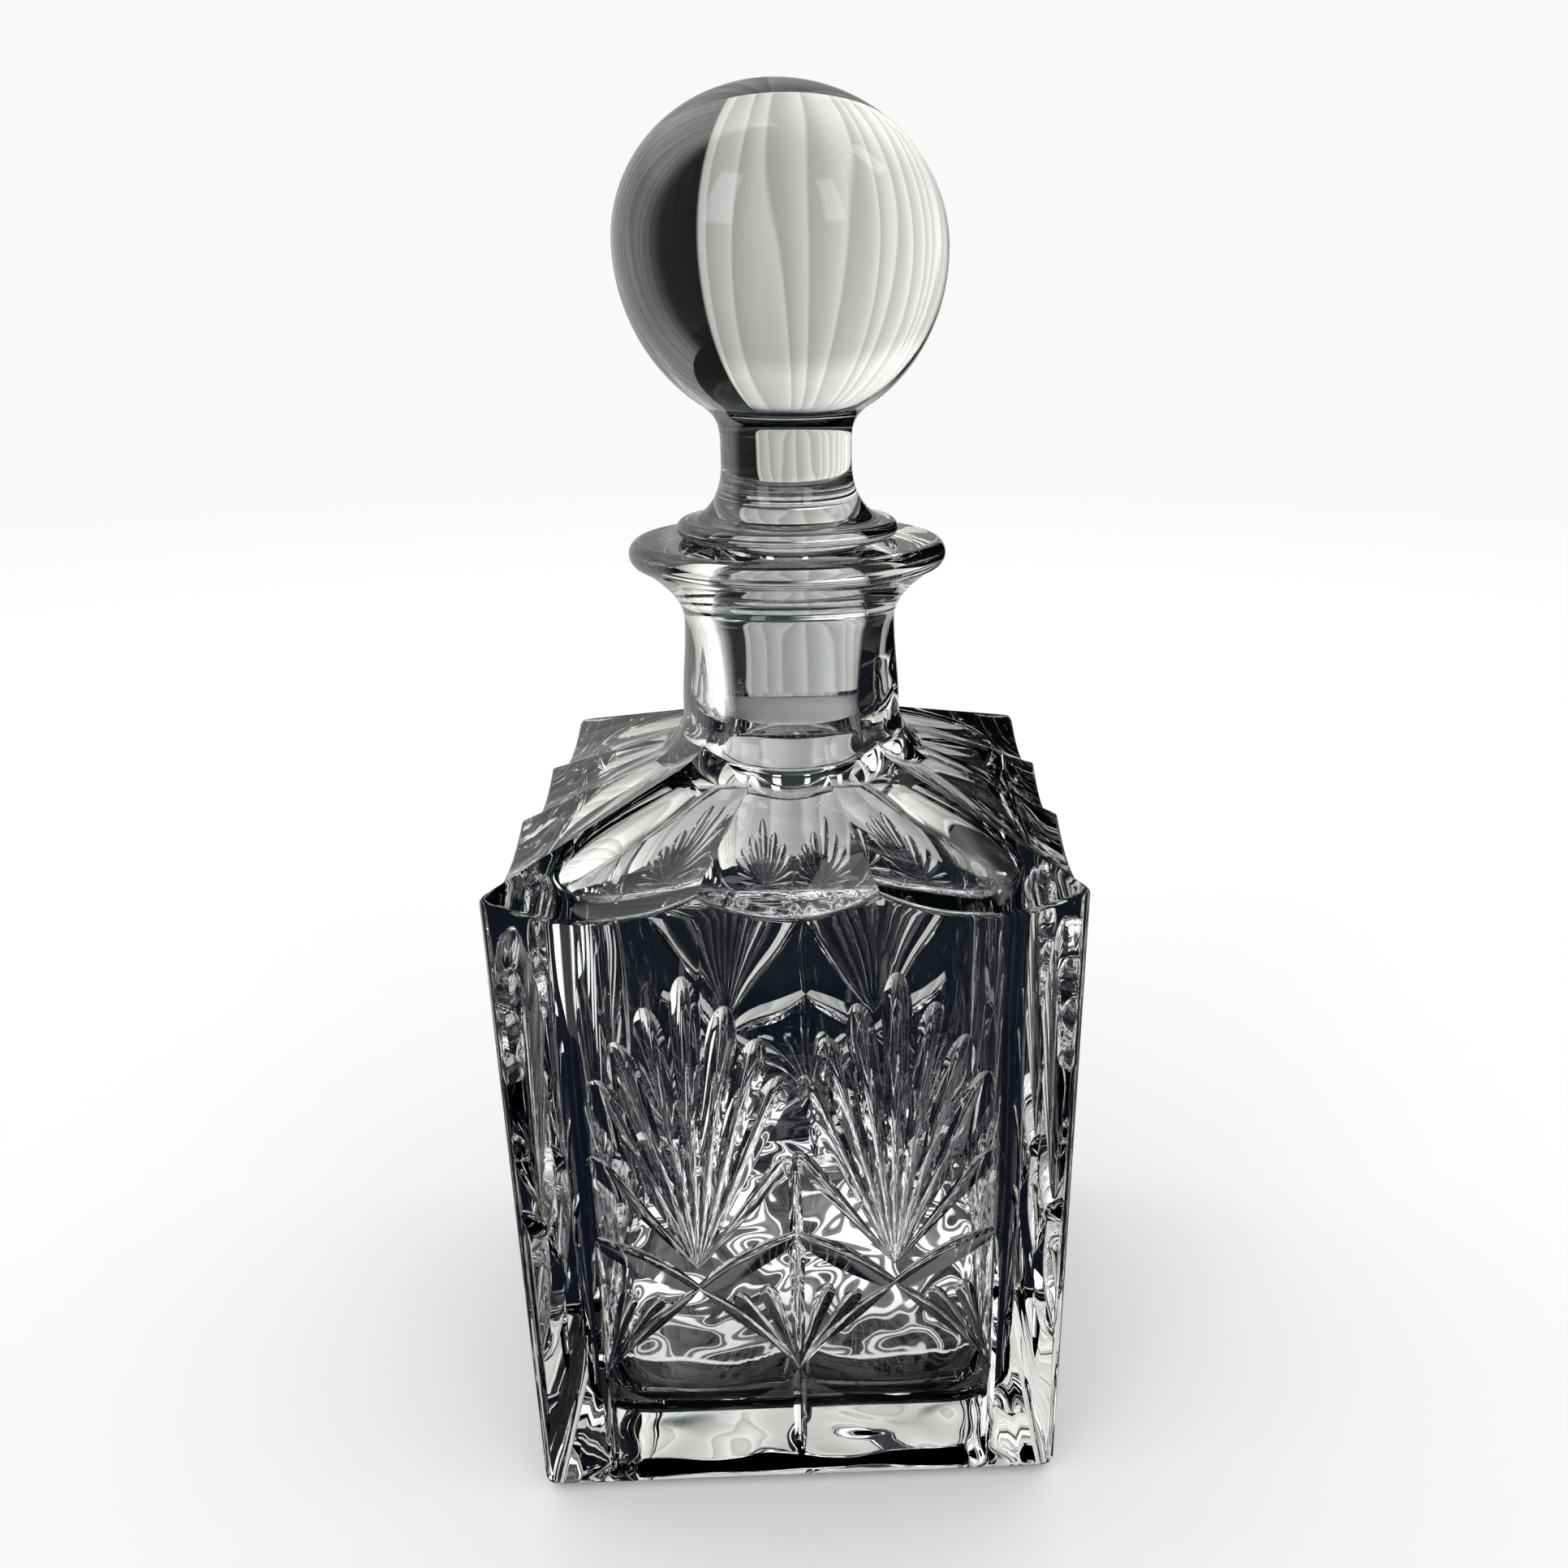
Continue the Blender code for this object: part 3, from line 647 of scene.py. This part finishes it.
def cut_panel(outline):
    """The front face with its pattern cut in it, as an open mesh whose rim is the outline."""
    cutters = Cutters()
    for cut in (cut_arches, cut_mitres, cut_fans, cut_recesses):
        cut(cutters)
    bpy.context.scene.collection.children.link(cutters.group)
    slab = panel_slab(outline)
    bpy.context.scene.collection.objects.link(slab)
    blank = bpy.data.materials.new("blank")
    for item in [slab, *cutters.group.objects]:
        for _ in range(cutters.next_index):
            item.data.materials.append(blank)
    cut = slab.modifiers.new("cuts", "BOOLEAN")
    cut.operation = "DIFFERENCE"
    cut.solver = "EXACT"
    cut.operand_type = "COLLECTION"
    cut.collection = cutters.group
    graph = bpy.context.evaluated_depsgraph_get()
    panel = bmesh.new()
    panel.from_mesh(slab.evaluated_get(graph).data)
    spare = [face for face in panel.faces if face.material_index == DISCARDED]
    bmesh.ops.delete(panel, geom=spare, context="FACES")
    for edge in panel.edges:
        facets = {face.material_index for face in edge.link_faces}
        edge.smooth = len(facets) == 1 and len(edge.link_faces) == 2
    for item in [slab, *cutters.group.objects]:
        bpy.data.objects.remove(item, do_unlink=True)
    bpy.data.collections.remove(cutters.group)
    bpy.data.materials.remove(blank)
    return panel


# ---------------------------------------------------------------- the pieces


def join_rows(mesh, low, high, skip=None):
    count = len(low)
    for i in range(count):
        if skip and skip(i):
            continue
        j = (i + 1) % count
        mesh.faces.new((low[i], low[j], high[j], high[i]))


def close_tip(mesh, row, point):
    tip = mesh.verts.new(point)
    for i in range(len(row)):
        mesh.faces.new((row[i], row[(i + 1) % len(row)], tip))


def finish_mesh(mesh, name):
    """A piece that shades smoothly, except over its sharp edges."""
    for edge in mesh.edges:
        if len(edge.link_faces) == 2 and edge.calc_face_angle(0.0) > SHARP_ANGLE:
            edge.smooth = False
    for face in mesh.faces:
        face.smooth = True
        face.material_index = 0
    data = bpy.data.meshes.new(name)
    mesh.to_mesh(data)
    mesh.free()
    piece = bpy.data.objects.new(name, data)
    bpy.context.scene.collection.objects.link(piece)
    return piece


def make_body():
    """The whole bottle in one skin: base, four cut faces, shoulder, neck, lip and inside."""
    under, lower, upper = underside_rings(), base_rings(), edge_rings()
    quarter = len(OUTLINE)
    front = slice(0, FACE_COUNT)
    panel = cut_panel(lower[-1][front] + upper[0][front][::-1])
    sheet = bpy.data.meshes.new("panel")
    panel.to_mesh(sheet)
    panel.free()
    mesh = bmesh.new()
    for turn in range(4):
        start = len(mesh.verts)
        mesh.from_mesh(sheet)
        mesh.verts.ensure_lookup_table()
        bmesh.ops.rotate(mesh, cent=(0, 0, 0), matrix=Matrix.Rotation(turn * math.pi / 2, 3, "Z"),
                         verts=mesh.verts[start:])
    bpy.data.meshes.remove(sheet)
    rounds = [round_ring(radius, height) for radius, height in neck_profile()]
    rings = under + lower + upper + shoulder_rings() + rounds + cavity_rings()
    rows = [[mesh.verts.new(point) for point in ring] for ring in rings]
    for i, (low, high) in enumerate(zip(rows, rows[1:])):
        panel_row = i == len(under) + len(lower) - 1
        join_rows(mesh, low, high, (lambda k: k % quarter < FACE_COUNT - 1) if panel_row else None)
    close_tip(mesh, rows[0][::-1], Vector((0, 0, underside_height(0, 0, 0, HALF_WIDTH))))
    close_tip(mesh, rows[-1], Vector((0, 0, FLOOR_HEIGHT + FLOOR_DOME)))
    bmesh.ops.remove_doubles(mesh, verts=mesh.verts, dist=WELD_DISTANCE)
    bmesh.ops.recalc_face_normals(mesh, faces=mesh.faces)
    return finish_mesh(mesh, "crystal_bottle")


def stopper_profile():
    """(radius, height) from the plug's flat end up to just short of the top of the ball."""
    flange_bottom = LIP_HEIGHT + FIT_GAP
    low_radius, high_radius = BORE_BOTTOM_RADIUS - FIT_GAP, BORE_TOP_RADIUS - FIT_GAP
    points = [(low_radius - PLUG_CHAMFER, PLUG_BOTTOM_HEIGHT)]
    plug_low, plug_high = PLUG_BOTTOM_HEIGHT + PLUG_CHAMFER, flange_bottom - MOUTH_ROUNDING
    for i in range(PLUG_STEPS + 1):
        share = i / PLUG_STEPS
        points.append((low_radius + (high_radius - low_radius) * share,
                       plug_low + (plug_high - plug_low) * share))
    for i in range(1, ARC_STEPS):
        angle = math.pi / 2 * i / ARC_STEPS
        points.append((high_radius + MOUTH_ROUNDING * (1 - math.cos(angle)),
                       flange_bottom - MOUTH_ROUNDING * (1 - math.sin(angle))))
    for i in range(2 * ARC_STEPS + 1):
        angle = -math.pi / 2 + math.pi * i / (2 * ARC_STEPS)
        points.append((FLANGE_RADIUS - FLANGE_ROUNDING * (1 - math.cos(angle)),
                       flange_bottom + FLANGE_ROUNDING * (1 + math.sin(angle))))
    for i in range(1, 2 * BLEND_STEPS + 1):
        angle = math.pi / 2 * (1 - i / (2 * BLEND_STEPS))
        reach = FLANGE_RADIUS - FLANGE_ROUNDING - STEM_RADIUS
        points.append((STEM_RADIUS + reach * (1 - math.cos(angle)),
                       STEM_WAIST_LOW - (STEM_WAIST_LOW - STEM_FOOT_HEIGHT) * math.sin(angle)))
    drop = (BALL_HEIGHT - BALL_JOIN_HEIGHT) / BALL_LOWER
    join_radius = BALL_RADIUS * math.sqrt(1 - drop ** 2)
    for i in range(2 * ARC_STEPS):
        share = i / (2 * ARC_STEPS)
        points.append((STEM_RADIUS + (join_radius - STEM_RADIUS) * share ** STEM_FLARE,
                       STEM_WAIST_HIGH + (BALL_JOIN_HEIGHT - STEM_WAIST_HIGH) * share))
    start = -math.asin(drop)
    for i in range(BALL_STEPS):
        angle = start + (math.pi / 2 - start) * i / BALL_STEPS
        reach = BALL_UPPER if angle > 0 else BALL_LOWER
        points.append((BALL_RADIUS * math.cos(angle), BALL_HEIGHT + reach * math.sin(angle)))
    return points


def make_stopper():
    mesh = bmesh.new()
    rows = []
    for radius, height in stopper_profile():
        turns = [math.tau * i / ROUND_STEPS for i in range(ROUND_STEPS)]
        rows.append([mesh.verts.new((radius * math.cos(a), radius * math.sin(a), height)) for a in turns])
    for low, high in zip(rows, rows[1:]):
        join_rows(mesh, low, high)
    close_tip(mesh, rows[-1], Vector((0, 0, BALL_HEIGHT + BALL_UPPER)))
    ground = mesh.faces.new(rows[0][::-1])
    bmesh.ops.recalc_face_normals(mesh, faces=mesh.faces)
    mesh.faces.index_update()
    ground_index = ground.index
    piece = finish_mesh(mesh, "crystal_stopper")
    piece.data.polygons[ground_index].material_index = 1
    return piece


# ---------------------------------------------------------------- materials


def new_material(name):
    material = bpy.data.materials.new(name)
    material.use_nodes = True
    return material, material.node_tree.nodes, material.node_tree.links


def crystal(name, tint, roughness):
    """Lead crystal: clear, with faint cloudiness and the slight unevenness of hand polishing."""
    material, nodes, links = new_material(name)
    shader = nodes["Principled BSDF"]
    shader.inputs["Transmission Weight"].default_value = 1.0
    shader.inputs["IOR"].default_value = CRYSTAL_IOR
    place = nodes.new("ShaderNodeTexCoord")
    cloud = nodes.new("ShaderNodeTexNoise")
    cloud.inputs["Scale"].default_value = CLOUD_SCALE
    cloud.inputs["Detail"].default_value = 3.0
    links.new(place.outputs["Object"], cloud.inputs["Vector"])
    colour = nodes.new("ShaderNodeMix")
    colour.data_type = "RGBA"
    colour.inputs["A"].default_value = (*tint, 1.0)
    colour.inputs["B"].default_value = (1.0, 1.0, 1.0, 1.0)
    links.new(cloud.outputs["Fac"], colour.inputs["Factor"])
    links.new(colour.outputs["Result"], shader.inputs["Base Color"])
    polish = nodes.new("ShaderNodeMapRange")
    polish.inputs["From Min"].default_value, polish.inputs["From Max"].default_value = CLOUD_RANGE
    polish.inputs["To Min"].default_value, polish.inputs["To Max"].default_value = roughness
    links.new(cloud.outputs["Fac"], polish.inputs["Value"])
    links.new(polish.outputs["Result"], shader.inputs["Roughness"])
    return material


def body_crystal():
    return crystal("cut_crystal", (0.965, 0.98, 0.985), (0.0, 0.012))


def stopper_crystal():
    return crystal("turned_crystal", (0.965, 0.975, 0.975), (0.0, 0.01))


def ground_crystal():
    return crystal("ground_crystal", (0.9, 0.92, 0.92), (0.35, 0.55))


# ---------------------------------------------------------------- stage, light and camera


class Graph:
    """Short names for the maths that the studio's floor and surroundings are drawn with."""

    def __init__(self, tree):
        self.nodes, self.links = tree.nodes, tree.links

    def maths(self, operation, *values):
        node = self.nodes.new("ShaderNodeMath")
        node.operation = operation
        for socket, value in zip(node.inputs, values):
            if isinstance(value, (int, float)):
                socket.default_value = value
            else:
                self.links.new(value, socket)
        return node.outputs["Value"]

    def ratio(self, value, start, end, easing="LINEAR"):
        """How far the value is from start to end, from 0 to 1."""
        node = self.nodes.new("ShaderNodeMapRange")
        node.interpolation_type = easing
        node.inputs["From Min"].default_value = start
        node.inputs["From Max"].default_value = end
        self.links.new(value, node.inputs["Value"])
        return node.outputs["Result"]

    def step(self, value, low, high):
        """The same, easing in and out."""
        return self.ratio(value, low, high, "SMOOTHSTEP")

    def scale(self, colour, factor):
        node = self.nodes.new("ShaderNodeVectorMath")
        node.operation = "SCALE"
        self.links.new(colour, node.inputs[0])
        self.links.new(factor, node.inputs["Scale"])
        return node.outputs["Vector"]

    def band(self, value, low, high, soft):
        """1 between low and high and 0 outside, with soft sides."""
        rise = self.step(value, low - soft, low + soft)
        fall = self.step(value, high - soft, high + soft)
        return self.maths("SUBTRACT", rise, fall)

    def ramp(self, value, stops):
        """Colours between stops: each is a place from 0 to 1 and its colour."""
        node = self.nodes.new("ShaderNodeValToRGB")
        elements = node.color_ramp.elements
        while len(elements) < len(stops):
            elements.new(1.0)
        for element, (place, colour) in zip(elements, stops):
            element.position = place
            element.color = (*colour, 1.0)
        self.links.new(value, node.inputs["Fac"])
        return node.outputs["Color"]

    def mix(self, factor, low, high):
        """The low colour where the factor is 0 and the high one where it is 1."""
        node = self.nodes.new("ShaderNodeMix")
        node.data_type = "RGBA"
        for name, value in (("Factor", factor), ("A", low), ("B", high)):
            socket = node.inputs[name]
            if isinstance(value, tuple):
                socket.default_value = (*value, 1.0)
            elif isinstance(value, (int, float)):
                socket.default_value = value
            else:
                self.links.new(value, socket)
        return node.outputs["Result"]


def stage_piece(name, mesh):
    data = bpy.data.meshes.new(name)
    mesh.to_mesh(data)
    mesh.free()
    item = bpy.data.objects.new(name, data)
    bpy.context.scene.collection.objects.link(item)
    return item


def make_ring(name, inner, outer, height, shift=0.0):
    """A flat ring of the stage round the object's foot, facing up."""
    mesh = bmesh.new()
    near = [mesh.verts.new(point) for point in round_ring(inner, height)]
    far = [mesh.verts.new(point + Vector((shift, 0, 0))) for point in round_ring(outer, height)]
    join_rows(mesh, far, near)
    return stage_piece(name, mesh)


def painted_foot_light(graph, place):
    """Painted caustics: bands of the glass's own light on the floor under its foot, with painted shadow
    black along the front edge.
    """
    caustic_noise = graph.nodes.new("ShaderNodeTexNoise")
    caustic_noise.inputs["Scale"].default_value = CAUSTIC_SCALE
    caustic_noise.inputs["Detail"].default_value = 1.0
    caustic_noise.inputs["Distortion"].default_value = CAUSTIC_DISTORTION
    graph.links.new(place, caustic_noise.inputs["Vector"])
    bands = graph.maths("PINGPONG", graph.maths("MULTIPLY", caustic_noise.outputs["Fac"], CAUSTIC_BANDS), 1.0)
    parts = graph.nodes.new("ShaderNodeSeparateXYZ")
    graph.links.new(place, parts.inputs["Vector"])
    wander = graph.maths("MULTIPLY_ADD", caustic_noise.outputs["Fac"], SHADE_WANDER, parts.outputs["Y"])
    depth = graph.ratio(wander, *(end + SHADE_WANDER / 2 for end in SHADE_SPAN))
    shade = graph.ramp(depth, [(share, (light, light, light)) for share, light in SHADE_STOPS])
    painted_caustics = graph.scale(graph.ramp(bands, CAUSTIC_STOPS), shade)
    return graph.mix(graph.band(depth, *SHADOW_EDGE_LINE), painted_caustics, SHADOW_EDGE_HIGHLIGHT)


def make_floor():
    """A pale floor that fades into the backdrop's colour, so no horizon shows.

    The glass sees only the floor right under its foot, with painted caustics and painted shadow there.
    """
    near = make_ring("floor_near", FLOOR_HOLE, CARD_REACH[0], -FLOOR_GAP)
    far = make_ring("floor_far", CARD_REACH[0], FLOOR_RADIUS, -FLOOR_GAP)
    far.visible_transmission = far.visible_glossy = False
    material, nodes, links = new_material("pale_floor")
    nodes.remove(nodes["Principled BSDF"])
    graph = Graph(material.node_tree)
    matte = nodes.new("ShaderNodeBsdfDiffuse")
    matte.inputs["Color"].default_value = (*FLOOR_COLOUR, 1.0)
    glow = nodes.new("ShaderNodeEmission")
    place = nodes.new("ShaderNodeNewGeometry").outputs["Position"]
    distance = nodes.new("ShaderNodeVectorMath")
    distance.operation = "LENGTH"
    links.new(place, distance.inputs[0])
    path = nodes.new("ShaderNodeLightPath").outputs
    inside = graph.maths("MAXIMUM", path["Is Transmission Ray"], path["Is Glossy Ray"])
    # rays through the glass see painted caustics and painted shadow on the floor under its foot
    links.new(graph.mix(inside, BACKDROP_COLOUR, painted_foot_light(graph, place)), glow.inputs["Color"])
    blend = nodes.new("ShaderNodeMixShader")
    fade = graph.step(distance.outputs["Value"], *FLOOR_FADE)
    links.new(graph.maths("MAXIMUM", fade, inside), blend.inputs["Fac"])
    links.new(matte.outputs["BSDF"], blend.inputs[1])
    links.new(glow.outputs["Emission"], blend.inputs[2])
    links.new(blend.outputs["Shader"], nodes["Material Output"].inputs["Surface"])
    for floor in (near, far):
        floor.data.materials.append(material)


def make_dark_card():
    """A black ring of card round the foot, seen only in the glass: it gives the cuts their dark lines."""
    card = make_ring("dark_card", *CARD_REACH, -FLOOR_GAP / 2, CARD_SHIFT)
    card.visible_camera = card.visible_diffuse = card.visible_shadow = False
    material, nodes, links = new_material("dark_card")
    nodes.remove(nodes["Principled BSDF"])
    dark = nodes.new("ShaderNodeEmission")
    dark.inputs["Color"].default_value = (*CARD_COLOUR, 1.0)
    links.new(dark.outputs["Emission"], nodes["Material Output"].inputs["Surface"])
    card.data.materials.append(material)


def drape_folds(graph, turn, rise):
    """Hanging folds: each brightest at one edge, then falling off to the next."""
    wander = graph.nodes.new("ShaderNodeTexNoise")
    wander.noise_dimensions = "2D"
    wander.inputs["Scale"].default_value = 1.0
    wander.inputs["Detail"].default_value = 1.0
    place = graph.nodes.new("ShaderNodeCombineXYZ")
    graph.links.new(graph.maths("MULTIPLY", turn, FOLD_RATE / 2), place.inputs["X"])
    graph.links.new(graph.maths("MULTIPLY", rise, FOLD_SWAY), place.inputs["Y"])
    graph.links.new(place.outputs["Vector"], wander.inputs["Vector"])
    shift = graph.maths("MULTIPLY", wander.outputs["Fac"], FOLD_WANDER)
    count = graph.maths("MULTIPLY_ADD", turn, FOLD_RATE, shift)
    across = graph.maths("FRACT", count)
    falling = graph.maths("SUBTRACT", 1.0, graph.maths("POWER", across, FOLD_FALL))
    return graph.maths("MULTIPLY", falling, graph.step(across, 0.0, FOLD_EDGE))


def surroundings(graph):
    """What the crystal sees round it: pale drapes, brighter to the left, softboxes, and dark elsewhere."""
    direction = graph.nodes.new("ShaderNodeTexCoord").outputs["Generated"]
    parts = graph.nodes.new("ShaderNodeSeparateXYZ")
    graph.links.new(direction, parts.inputs["Vector"])
    x, y, z = parts.outputs
    turn = graph.maths("ARCTAN2", x, y)
    rise = graph.maths("ARCSINE", z)
    drape = graph.mix(drape_folds(graph, turn, rise), DRAPE_SHADE, DRAPE_LIGHT)
    leftward = graph.maths("POWER", graph.ratio(turn, *DRAPE_LEFT), DRAPE_EASE)
    gain = graph.maths("MULTIPLY_ADD", leftward, DRAPE_GAIN - 1, 1.0)
    low = graph.maths("MULTIPLY_ADD", graph.step(rise, *LOW_RISE), 1 - LOW_SHARE, LOW_SHARE)
    high = graph.maths("MULTIPLY_ADD", graph.step(rise, *HIGH_RISE), HIGH_SHARE - 1, 1.0)
    room = graph.scale(drape, graph.maths("MULTIPLY", gain, graph.maths("MULTIPLY", low, high)))
    dark_side = graph.mix(graph.ratio(turn, *DARK_SIDE), *DARK_COLOURS)
    dark_side = graph.mix(graph.step(rise, *DARK_LOW_RISE), DARK_LOW_COLOUR, dark_side)
    room = graph.mix(graph.band(turn, *DARK_SIDE, DARK_SOFTNESS), room, dark_side)
    room = graph.mix(graph.step(graph.maths("ABSOLUTE", turn), *FRONT_FROM), room, FRONT_COLOUR)
    ceiling = graph.maths("MULTIPLY", graph.step(rise, *CEILING_FROM), graph.step(turn, *CEILING_SIDE))
    room = graph.mix(ceiling, room, CEILING_COLOUR)
    for sides in SOFTBOXES:
        box = graph.maths("MULTIPLY", graph.band(turn, *sides[:2], SOFTBOX_SOFTNESS),
                          graph.band(rise, *sides[2:], SOFTBOX_SOFTNESS))
        room = graph.mix(box, room, SOFTBOX_LIGHT)
    return room


def make_world():
    """Even soft light on the floor. The glass itself sees the drapes, softboxes and dark side."""
    world = bpy.data.worlds.new("studio")
    bpy.context.scene.world = world
    world.use_nodes = True
    graph = Graph(world.node_tree)
    path = graph.nodes.new("ShaderNodeLightPath").outputs
    view = graph.mix(path["Is Diffuse Ray"], surroundings(graph), EVEN_LIGHT)
    view = graph.mix(path["Is Camera Ray"], view, BACKDROP_COLOUR)
    graph.links.new(view, graph.nodes["Background"].inputs["Color"])


def make_camera():
    """The photograph's viewpoint: close, level with the ball's lower half, looking down."""
    data = bpy.data.cameras.new("camera")
    data.sensor_width = CAMERA_SENSOR
    data.lens = CAMERA_LENS
    data.shift_x, data.shift_y = CAMERA_SHIFT
    data.clip_start = 0.01
    data.clip_end = 50.0
    camera = bpy.data.objects.new("camera", data)
    camera.matrix_world = (Matrix.Translation(CAMERA_PLACE)
                           @ Matrix.Rotation(-CAMERA_YAW, 4, "Z")
                           @ Matrix.Rotation(math.pi / 2 - CAMERA_PITCH, 4, "X")
                           @ Matrix.Rotation(CAMERA_ROLL, 4, "Z"))
    bpy.context.scene.collection.objects.link(camera)
    bpy.context.scene.camera = camera


def main():
    body = make_body()
    body.data.materials.append(body_crystal())
    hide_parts("decanter_body")
    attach(body, "bottle")

    stopper = make_stopper()
    stopper.data.materials.append(stopper_crystal())
    stopper.data.materials.append(ground_crystal())
    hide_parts("ball_stopper")
    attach(stopper, "stopper")

    make_floor()
    make_dark_card()
    make_world()
    make_camera()
    bpy.context.scene.view_settings.view_transform = "Standard"


main()
